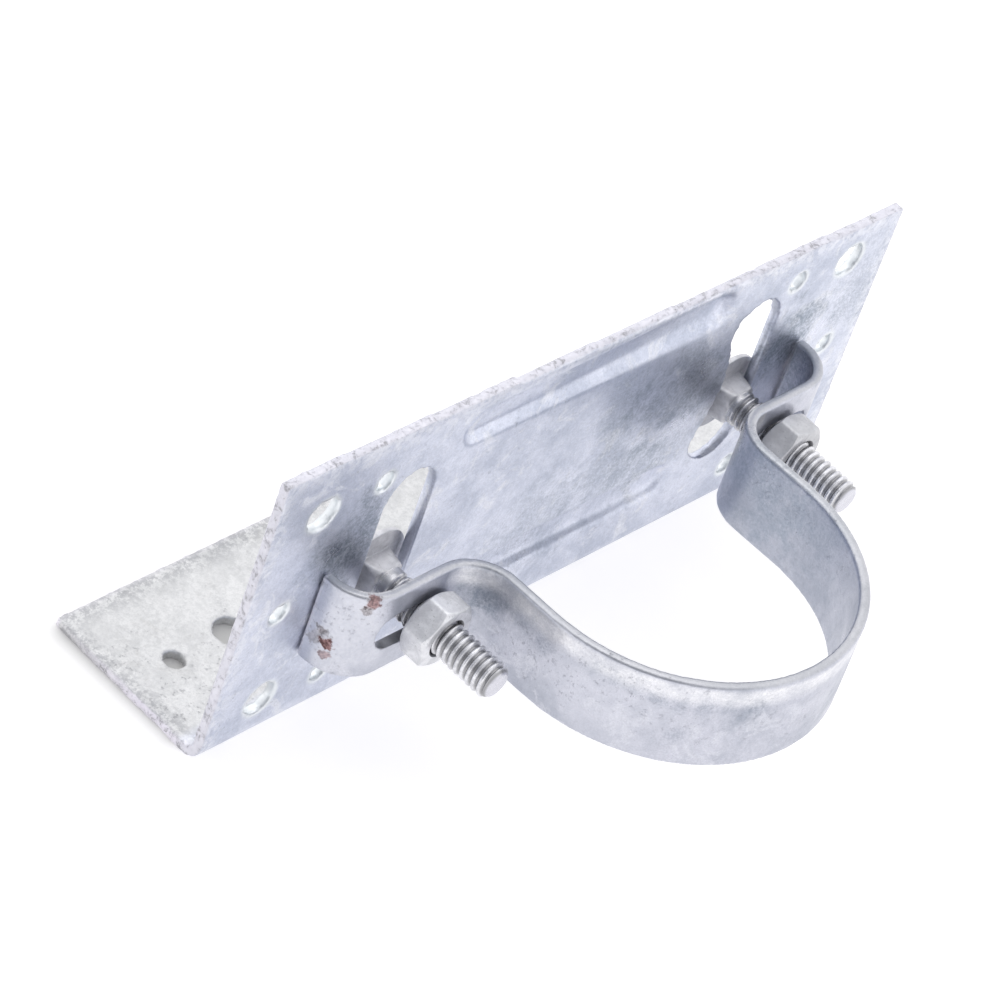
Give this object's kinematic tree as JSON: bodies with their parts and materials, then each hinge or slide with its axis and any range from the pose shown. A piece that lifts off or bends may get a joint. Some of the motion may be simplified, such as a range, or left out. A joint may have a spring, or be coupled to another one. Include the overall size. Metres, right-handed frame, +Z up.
{
  "type": "roof bracket",
  "caption": "Galvanised folded roof bracket whose omega-shaped clamp band is drawn up on coach bolts and hex nuts to grip a mast.",
  "frame": {"origin": "middle of the plate's four corner holes, on the plate's back face, which goes against the roof timber", "axes": "+Z up the plate and along a clamped mast, +Y out of the plate's back face along the flange, -Y towards the mast clamp, X along the plate"},
  "size_m": [0.23, 0.1426, 0.0933],
  "materials": {
    "galvanised_plate": "hot-dip galvanised, satin and mottled, with sheared edges",
    "galvanised_band": "hot-dip galvanised, satin with specks and small rust spots on one lip",
    "galvanised_bolt": "spun galvanised, neutral grey satin",
    "galvanised_nut": "zinc plated, neutral grey satin"
  },
  "bodies": {
    "bracket": {"angle_bracket": "galvanised_plate"},
    "bolt_left": {"coach_bolt_left": "galvanised_bolt"},
    "bolt_right": {"coach_bolt_right": "galvanised_bolt"},
    "clamp": {"clamp_band": "galvanised_band"},
    "nut_left": {"hex_nut_left": "galvanised_nut"},
    "nut_right": {"hex_nut_right": "galvanised_nut"}
  },
  "joints": [
    {"name": "clamp_height", "type": "slide", "parent": "bracket", "child": "bolt_left", "axis": [0, 0, 1], "range_m": [-0.0075, 0.0245]},
    {"name": "right_bolt_height", "type": "slide", "parent": "bracket", "child": "bolt_right", "axis": [0, 0, 1], "range_m": [-0.0075, 0.0245]},
    {"name": "clamp_release", "type": "slide", "parent": "bolt_left", "child": "clamp", "axis": [0.0227, -0.9989, -0.0401], "range_m": [0, 0.015]},
    {"name": "nut_left_turn", "type": "hinge", "parent": "clamp", "child": "nut_left", "pos_m": [-0.0644, -0.0188, -0.0059], "axis": [0.0227, -0.9989, -0.0401], "range_deg": [0, 2700.05]},
    {"name": "nut_right_turn", "type": "hinge", "parent": "clamp", "child": "nut_right", "pos_m": [0.0676, -0.0188, -0.0059], "axis": [0.0227, -0.9989, -0.0401], "range_deg": [0, 2700.05]}
  ],
  "couplings": [
    {"joint": "right_bolt_height", "follows": "clamp_height", "ratio": 1},
    {"joint": "nut_left_turn", "follows": "clamp_release", "rad_per_m": 3141.6},
    {"joint": "nut_right_turn", "follows": "clamp_release", "rad_per_m": 3141.6}
  ]
}
